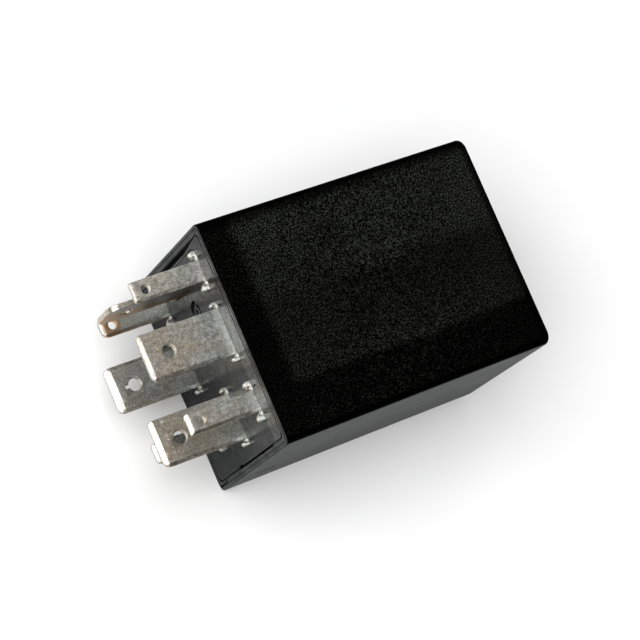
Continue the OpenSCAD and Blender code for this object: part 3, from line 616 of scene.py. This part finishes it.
def cut(obj, cutters):
    """Cuts the cutters out of obj, and removes them."""
    for cutter in cutters:
        mod = obj.modifiers.new("cut", "BOOLEAN")
        mod.operation = "DIFFERENCE"
        mod.solver = "EXACT"
        mod.object = cutter
    applied(obj)
    for cutter in cutters:
        mesh = cutter.data
        bpy.data.objects.remove(cutter)
        bpy.data.meshes.remove(mesh)
    return obj


def resharpen(obj, smooth_angle=32.0):
    """Marks the sharp edges again after a cut."""
    bm = bmesh.new()
    bm.from_mesh(obj.data)
    bmesh.ops.remove_doubles(bm, verts=bm.verts, dist=0.001 * MM)
    for f in bm.faces:
        f.smooth = True
    for e in bm.edges:
        e.smooth = len(e.link_faces) == 2 and e.calc_face_angle(0.0) < math.radians(smooth_angle)
    bm.to_mesh(obj.data)
    bm.free()
    return obj


def make_cover():
    """The can as one skin, from inside to outside, with the latch pockets and the marks at its rim cut in."""
    rings = []

    def half(x, wall):
        return (BODY_W / 2 - wall - DRAFT_W * x / BODY_L, BODY_H / 2 - wall - DRAFT_H * x / BODY_L)

    # inside, from the middle of the closed end out to the rim
    inner_end, inner_r = BODY_L - ROOF, 0.8
    hy, hz = half(inner_end, WALL)
    for inset in (6.0, 3.0, 1.2):
        rings.append(rounded_ring(inner_end, hy - inset, hz - inset, INNER_EDGE))
    for k in range(6, -1, -1):
        a = math.radians(90 * k / 6)
        inset = inner_r * (1 - math.cos(a))
        rings.append(rounded_ring(inner_end - inner_r + inner_r * math.sin(a), hy - inset, hz - inset,
                                  INNER_EDGE))
    for x in (34, 28, 22, 16, 10.9, 8.2, 5, 2, 0.5, 0.16):
        rings.append(rounded_ring(x, *half(x, WALL), INNER_EDGE))
    # rim, with both its edges rounded and a fine groove near the outer one
    for k in range(1, 4):
        a = math.radians(90 * k / 3)
        out = RIM_R * (1 - math.cos(a))
        rings.append(rounded_ring(RIM_R - RIM_R * math.sin(a), CAV_Y + out, CAV_Z + out, INNER_EDGE + out))
    for x, out in ((0.0, 0.60), (0.03, 0.59), (0.03, 0.58), (0.0, 0.57), (0.0, 0.53), (0.1, 0.50),
                   (0.1, 0.43), (0.0, 0.40)):
        rings.append(rounded_ring(x, BODY_W / 2 - out, BODY_H / 2 - out, EDGE_R - out))
    for k in range(0, 4):
        a = math.radians(90 * k / 3)
        out = RIM_R * (1 - math.sin(a))
        rings.append(rounded_ring(RIM_R * (1 - math.cos(a)), BODY_W / 2 - out, BODY_H / 2 - out,
                                  EDGE_R - out))
    # outside, to the middle of the closed end
    hy, hz = half(BODY_L - END_R, 0)
    for x in (0.5, 1.2, 2.7, 5.4, 8, 12, 16, 20, 24, 28, 32, 36, BODY_L - END_R - 0.6):
        rings.append(rounded_ring(x, *half(x, 0), EDGE_R))
    for k in range(0, 9):
        a = math.radians(90 * k / 8)
        inset = END_R * (1 - math.cos(a))
        rings.append(rounded_ring(BODY_L - END_R + END_R * math.sin(a), hy - inset, hz - inset,
                                  max(EDGE_R - 0.15 * inset, 0.8)))
    for inset in (2.6, 5.0, 8.0):
        rings.append(rounded_ring(BODY_L, hy - inset, hz - inset, 0.8))
    bm = bmesh.new()
    loft(bm, rings, close_ends=True)
    obj = new_object("cover_shell", bm)
    pocket = 3.2
    inner, outer = CAV_Y, BODY_W / 2
    cutters = []
    for s in (-1, 1):
        y = sorted((s * (inner - 0.6), s * (inner + 0.35)))
        cutters.append(box_cutter("pocket", (8.4, y[0], -pocket), (10.6, y[1], pocket), 0.12))
    cutters.append(box_cutter("recess", (-1, -inner - 0.2, -4.4), (3, -inner + 0.3, 9.0), 0.05))
    cutters.append(box_cutter("corner_a", (-1, -14.45, -13.5), (0.5, -14.22, -10.5), 0.03))
    cutters.append(box_cutter("corner_b", (-1, -14.35, -10.85), (0.5, -inner + 0.3, -10.56), 0.03))
    cutters.append(box_cutter("witness", (2.7, -outer - 1, -6.85), (5.4, -outer + 0.25, -6.35), 0.05))
    cut(obj, cutters)
    resharpen(obj)
    weighted(obj)
    return keep(obj, "cover", "case_plastic", "cover")


# ---------------------------------------------------------------- base plate

def blade_slots():
    """Slot sizes in the plate: y, z, size along y, size along z."""
    out = []
    for _name, y, z, form, turned, *_rest in BLADES:
        a, b = form["ears"] + 0.1, BLADE_T + 0.1
        out.append((y, z, b, a) if turned else (y, z, a, b))
    return out


def ring_points(x, cy, cz, r, sides):
    """A circle in the plane of x, all in millimetres."""
    return [Vector((x, cy + r * math.cos(2 * math.pi * i / sides),
                    cz + r * math.sin(2 * math.pi * i / sides))) * MM for i in range(sides)]


def make_base():
    """The plate with its slots, reliefs and gate mark, and the arms, ribs and posts behind it."""
    r = 0.8
    # outline in Y and Z, with the small relief on the -Y side
    outer = arc(PLATE_Y - r, PLATE_Z - r, r, 0, 90, 5)
    outer += arc(-PLATE_Y + r, PLATE_Z - r, r, 90, 180, 5)
    outer += [(-PLATE_Y, -3.0), (-PLATE_Y + 0.2, -3.08), (-PLATE_Y + 0.2, -4.32), (-PLATE_Y, -4.4)]
    outer += arc(-PLATE_Y + r, -PLATE_Z + r, r, 180, 270, 5)
    outer += arc(PLATE_Y - r, -PLATE_Z + r, r, 270, 360, 5)
    holes = []
    for y, z, sy, sz in blade_slots():
        holes.append([(y - sy / 2, z - sz / 2), (y - sy / 2, z + sz / 2),
                      (y + sy / 2, z + sz / 2), (y + sy / 2, z - sz / 2)])

    def to_row(bm):
        for v in bm.verts:
            a, b, c = v.co
            v.co = Vector((c + BASE_T / 2, a, b)) * MM

    bm = sheet_part("base_plate", outer, holes, BASE_T, 0.07, to_row)
    obj = new_object("base_moulding", bm)
    # pry relief, tapered toward the corner, and a round gate mark with a raised ring
    wedge = bmesh.new()
    loop = [(PLATE_Y - 0.6, -3.8), (PLATE_Y + 1, -3.8), (PLATE_Y + 1, 12), (PLATE_Y, 12),
            (PLATE_Y - 0.6, 6.5)]
    rings = [[Vector((x, y, z)) * MM for y, z in loop] for x in (-1, BASE_T - 0.8)]
    loft(wedge, rings, close_ends=True)
    cutters = [new_object("relief", wedge)]
    gate = bmesh.new()
    profile = [(-0.5, 1.55), (0.0, 1.55), (0.07, 1.5), (0.30, 1.45), (0.30, 0.95), (0.12, 0.9),
               (0.12, 0.35), (0.30, 0.3), (0.30, 0.0001)]
    loft(gate, [ring_points(x, GATE_Y, GATE_Z, rr, 40) for x, rr in profile], close_ends=True)
    cutters.append(new_object("gate", gate))
    cut(obj, cutters)
    resharpen(obj)
    # arms, ribs and posts on the inner side, in the same moulding
    parts = []
    foot_x, rib_x = BASE_T - 0.15, BOARD_X - 1
    for s in (-1, 1):
        y = sorted((s * 12.9, s * 13.6))
        parts.append(((foot_x, y[0], -3), (BASE_T + 8.4, y[1], 3), 0.1))
        y = sorted((s * 12.95, s * 13.7))
        parts.append(((8.8, y[0], -3), (10.4, y[1], 3), 0.1))
    # a fine raised line beside the pry relief
    parts.append(((-0.10, 12.82, 2.0), (0.15, 12.97, 9.2), 0.05))
    parts.append(((foot_x, 6.0, -11.8), (rib_x, 6.7, 11.8), 0.1))
    for z in (-3, 4.8):
        parts.append(((foot_x, -12.6, z), (rib_x, 5.6, z + 0.7), 0.1))
    made = [box_cutter("rib", low, high, soften) for low, high, soften in parts]
    for i in (-1, 1):
        for j in (-1, 1):
            post = bmesh.new()
            profile = [(foot_x, 1.2), (BOARD_X - 0.12, 1.2), (BOARD_X - 0.02, 1.1), (BOARD_X - 0.02, 0.7),
                       (BOARD_TOP + 0.3, 0.7), (BOARD_TOP + 0.5, 0.5), (BOARD_TOP + 0.52, 0.0001)]
            loft(post, [ring_points(x, POST_Y * i, POST_Z * j, rr, 28) for x, rr in profile],
                 close_ends=True)
            made.append(new_object("post", post, smooth_angle=40))
    join(obj, made)
    weighted(obj)
    return keep(obj, "base", "base_plastic", "base_plate")


def join(obj, others):
    """Adds the meshes of the others to obj, and removes them."""
    bm = bmesh.new()
    bm.from_mesh(obj.data)
    for other in others:
        bm.from_mesh(other.data)
        mesh = other.data
        bpy.data.objects.remove(other)
        bpy.data.meshes.remove(mesh)
    bm.to_mesh(obj.data)
    bm.free()
    return obj


# ---------------------------------------------------------------- blades

def blade_side(form, r):
    """Half outline of a blade from the tip to the tail, for positive y, in millimetres."""
    h, e, length = form["width"] / 2, form["ears"] / 2, form["length"]
    gap, ear, ear_r = (0.22, 0.85, 0.42) if form is POWER else (0.28, 0.85, 0.45)
    half = arc(-length + r, h - r, r, 180, 90, 8)
    half += arc(-0.42, h + gap, gap, -90, 120, 14)
    half += [(-ear + ear_r - 0.1, h + gap * 1.1)]
    half += arc(-ear + ear_r, e - ear_r, ear_r, 190, 90, 6)
    s = BASE_T + 0.02
    half += [(s, e), (s, e + 0.2), (s + 1.2, e + 0.2), (s + 1.2, form["neck"] / 2),
             (BOARD_X - 0.25, form["neck"] / 2), (BOARD_X - 0.25, form["tail"] / 2),
             (TAIL_X - 0.25, form["tail"] / 2), (TAIL_X, form["tail"] / 2 - 0.3)]
    return half


def lock_hole(form, slit):
    """The locking hole's outline, with a slit toward the tip where one is wanted."""
    x, r = -form["hole_x"], form["hole_r"]
    if not slit:
        return circle(x, 0, r)
    a = math.degrees(math.asin(slit / 2 / r))
    loop = arc(x, 0, r, 180 + a, 540 - a, 26)
    return loop + [(x - r - 0.5, slit / 2), (x - r - 0.5, -slit / 2)]


def make_blade(name, y, z, form, turned, r_plus, r_minus, bevel_l, slit, tip_t, plus_t, minus_t):
    """A coined blade: thinner toward its tip and toward both long edges."""
    half_w, length = form["width"] / 2, form["length"]
    side_l = 0.5 if form is POWER else 0.42
    tip_x, side_y = -length + bevel_l, half_w - side_l
    fade = (-1.7, -0.9)

    def to_row(bm):
        # cuts on both sides of each crease keep the flats flat
        planes = [((tip_x + 0.05, 0, 0), (1, 0, 0)), ((tip_x - 0.05, 0, 0), (1, 0, 0)),
                  ((fade[0], 0, 0), (1, 0, 0)), ((fade[1], 0, 0), (1, 0, 0))]
        planes += [((0, s * (side_y + d), 0), (0, 1, 0)) for s in (-1, 1) for d in (0.04, -0.04)]
        for place, normal in planes:
            bmesh.ops.bisect_plane(bm, geom=bm.verts[:] + bm.edges[:] + bm.faces[:], dist=1e-5,
                                   plane_co=place, plane_no=normal)
        for v in bm.verts:
            tip = min(1.0, max(0.0, tip_x - v.co.x) / bevel_l)
            along = min(1.0, max(0.0, (fade[1] - v.co.x) / (fade[1] - fade[0])))
            side = min(1.0, max(0.0, abs(v.co.y) - side_y) / side_l) * along
            v.co.z *= 1 - max((1 - tip_t) * tip, (1 - (plus_t if v.co.y > 0 else minus_t)) * side)
        for v in bm.verts:
            a, b, c = v.co
            v.co = Vector((a, y - c, z + b) if turned else (a, y + b, z + c)) * MM

    outline = blade_side(form, r_plus) + [(x, -y2) for x, y2 in reversed(blade_side(form, r_minus))]
    bm = sheet_part(name, outline, [lock_hole(form, slit)], BLADE_T, 0.06, to_row)
    obj = new_object(name + "_blade", bm, smooth_angle=30)
    weighted(obj)
    return keep(obj, "base", "tinned_brass", name)


make_cover()
make_base()
for row in BLADES:
    make_blade(*row)


# ---------------------------------------------------------------- coil and board details

def make_winding():
    """The coil's outer layer, turn by turn, as one surface with a helical groove."""
    x0, x1, radius, bore, pitch, sides = 11.65, 29.75, 6.0, 3.45, 0.30, 60
    shoulder, depth, rings_per_turn = 0.4, 0.10, 6

    def ring(x, r, groove):
        out = []
        for i in range(sides):
            t = i / sides
            u = 2 * ((x / pitch - t) % 1.0) - 1
            rr = r - groove * u * u
            a = 2 * math.pi * t
            out.append(Vector((x, COIL_Y + rr * math.cos(a), COIL_Z + rr * math.sin(a))) * MM)
        return out

    count = int((x1 - x0) / pitch * rings_per_turn)
    rings = [ring(x0, bore, 0), ring(x0, radius - shoulder, 0)]
    rings += [ring(x0 + (x1 - x0) * k / count, radius, depth) for k in range(count + 1)]
    rings += [ring(x1, radius - shoulder, 0), ring(x1, bore, 0)]
    bm = bmesh.new()
    rows = loft(bm, rings)
    for i in range(sides):
        bm.faces.new((rows[-1][i], rows[-1][(i + 1) % sides], rows[0][(i + 1) % sides], rows[0][i]))
    return keep(new_object("winding_turns", bm, smooth_angle=60), "base", "copper_wire", "coil_winding")


def flat_line(bm, points, width, low, high):
    """A raised line on the board through points in Y and Z, with round ends."""
    half = width / 2
    for (ya, za), (yb, zb) in zip(points, points[1:]):
        way = math.degrees(math.atan2(zb - za, yb - ya))
        loop = arc(yb, zb, half, way - 90, way + 90, 6) + arc(ya, za, half, way + 90, way + 270, 6)
        rings = [[Vector((x, y, z)) * MM for y, z in loop] for x in (low, high)]
        loft(bm, rings, close_ends=True)


def flat_ring(bm, y, z, inner, outer, low, high, sides=32):
    """A raised ring on the board."""
    rings = []
    for x, r in ((low, inner), (low, outer), (high, outer - 0.01), (high, inner + 0.01), (low, inner)):
        rings.append(ring_points(x, y, z, r, sides))
    loft(bm, rings)


def make_board_details():
    """Tracks, printed outlines and solder pads on the board's inner face."""
    low, high = BOARD_TOP - 0.01, BOARD_TOP + 0.017
    tracks = [
        [(9.8, 4.2), (9.8, 7.4), (9.8, 9.0)], [(-8.05, 3.2), (-11.2, 3.2), (-11.2, 9.4), (-9.6, 9.6)],
        [(1.45, 8.6), (1.45, 5.2), (3.0, 4.9)], [(2.9, 3.6), (-0.4, 3.6), (-0.4, -3.4), (0.2, -4.3)],
        [(2.6, -2.9), (1.0, -2.9), (0.2, -4.3)], [(-9.2, -5.6), (-9.2, -9.4), (-4.9, -9.4), (-4.3, -8.0)],
        [(9.8, -6.4), (9.8, -4.4), (9.8, -2.9)], [(8.0, 4.9), (10.2, 4.9), (11.3, 4.9)],
        [(8.2, 1.1), (11.9, 1.1), (11.9, -4.3)], [(6.0, -6.2), (7.4, -6.2), (8.0, -7.6), (8.0, -8.5)],
        [(4.0, -8.4), (2.4, -8.4), (2.4, -6.9), (1.9, -6.5)], [(4.0, -10.6), (-2.2, -10.6), (-3.4, -11.3)],
        [(7.3, 9.6), (8.7, 9.6), (8.9, 9.6)], [(4.7, 9.6), (3.4, 9.6), (2.5, 9.6)],
        [(6.0, 9.0), (6.0, 6.9), (6.6, 6.2)], [(10.6, -9.0), (12.3, -9.0), (12.3, -6.6)],
    ]
    bm = bmesh.new()
    for line in tracks:
        flat_line(bm, line, 0.5, low, high)
    keep(new_object("board_tracks", bm), "base", "board_laminate", "circuit_board", "board_track")
    bm = bmesh.new()
    flat_ring(bm, CAP_Y, CAP_Z, 3.35, 3.5, low, high, 48)
    for y0, z0, y1, z1 in ((3.3, -4.5, 9.1, -1.4), (10.1, 3.5, 13.0, 8.9), (-11.2, -4.2, 2.2, 10.2)):
        flat_line(bm, [(y0, z0), (y1, z0), (y1, z1), (y0, z1), (y0, z0)], 0.15, low, high)
    flat_line(bm, [(3.5, 11.1), (8.5, 11.1)], 0.15, low, high)
    keep(new_object("board_outlines", bm), "base", "board_laminate", "circuit_board", "board_print")
    bm = bmesh.new()
    for s in (-1, 1):
        flat_ring(bm, CAP_Y + s * CAP_LEAD_DY, CAP_Z, LEAD_BORE, LEAD_PAD, low, high)
    for s in (-1, 1):
        flat_ring(bm, DIODE_Y + s * DIODE_LEAD_DY, DIODE_Z, LEAD_BORE, LEAD_PAD, low, high)
    for z in RESISTOR_LEAD_Z:
        flat_ring(bm, RESISTOR_Y, z, LEAD_BORE, LEAD_PAD, low, high)
    for s in (-1, 0, 1):
        flat_ring(bm, TRANSISTOR_Y + s * TRANSISTOR_LEAD_DY, TRANSISTOR_Z, LEAD_BORE, 0.60, low, high)
    for s in (-1, 1):
        flat_ring(bm, COIL_Y + s * COIL_PIN_DY, COIL_PIN_Z, 0.48, 0.9, low, high)
    keep(new_object("board_pads", bm), "base", "solder", "circuit_board")


make_winding()
make_board_details()

# ---------------------------------------------------------------- the other nodes

refined("circuit_board", 0.05)
refined("diode_body", 0.12, 3, "diode_epoxy")
done = {n for o in bpy.context.scene.objects for n in o.get("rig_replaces", [])}
for name in sorted(set(NODES) - done):
    refined(name, 0.05)


# ---------------------------------------------------------------- floor, light and camera

FLOOR_HALF = 6.0
FLOOR_GAP = 0.02 * MM
WORLD_LIGHT = 0.07
# name, place, size, power
LIGHTS = [
    ("key", (-0.46, 0.08, 0.88), (0.88, 0.88), 13.1),
    ("top_fill", (0.46, 0.22, 0.95), (1.0, 0.9), 0.45),
    ("side_fill", (-0.45, -0.62, 0.62), (0.8, 0.8), 2.5),
    ("end_fill", (0.85, 0.05, 0.50), (0.7, 0.7), 1.7),
    ("back_fill", (0.25, 0.52, 0.39), (0.5, 0.35), 0.55),
]
SENSOR, LENS = 36.0, 138.52
CAMERA_PLACE = (-116.332, -43.754, 292.025)
CAMERA_RIGHT = (0.85807, -0.39172, 0.33206)
CAMERA_AHEAD = (0.4109, 0.13588, -0.9015)


def make_floor():
    bm = bmesh.new()
    bmesh.ops.create_grid(bm, x_segments=4, y_segments=4, size=FLOOR_HALF)
    for v in bm.verts:
        v.co.z = CAD_BOX[0].z - FLOOR_GAP
    floor = new_object("floor", bm)
    m = Nodes("floor")
    m.finish(m.ramp(m.noise(0.05, detail=3.0), (0.3, (0.86, 0.86, 0.86)), (0.7, (0.88, 0.88, 0.88))),
             roughness=0.8, Specular_IOR_Level=0.1)
    floor.data.materials.append(m.mat)


def area_light(name, place, size, power):
    """A white rectangle of light, in metres and watts, that faces the origin."""
    light = bpy.data.lights.new(name, "AREA")
    light.shape = "RECTANGLE"
    light.size, light.size_y = size
    light.energy = power
    obj = bpy.data.objects.new(name, light)
    bpy.context.scene.collection.objects.link(obj)
    obj.location = place
    obj.rotation_mode = "QUATERNION"
    obj.rotation_quaternion = (-Vector(place)).to_track_quat("-Z", "Y")


def make_camera():
    data = bpy.data.cameras.new("camera")
    data.sensor_width = SENSOR
    data.lens = LENS
    data.clip_start, data.clip_end = 0.01, 10.0
    cam = bpy.data.objects.new("camera", data)
    bpy.context.scene.collection.objects.link(cam)
    back = -Vector(CAMERA_AHEAD).normalized()
    right = Vector(CAMERA_RIGHT).normalized()
    up = back.cross(right).normalized()
    right = up.cross(back)
    turn = Matrix((right, up, back)).transposed().to_4x4()
    cam.matrix_world = Matrix.Translation(Vector(CAMERA_PLACE) * MM) @ turn
    bpy.context.scene.camera = cam


def make_world():
    world = bpy.data.worlds.new("studio")
    world.use_nodes = True
    shade = world.node_tree.nodes["Background"]
    shade.inputs["Color"].default_value = (1.0, 1.0, 1.0, 1.0)
    shade.inputs["Strength"].default_value = WORLD_LIGHT
    bpy.context.scene.world = world


make_floor()
make_world()
for light_row in LIGHTS:
    area_light(*light_row)
make_camera()
bpy.context.scene.view_settings.view_transform = "Standard"
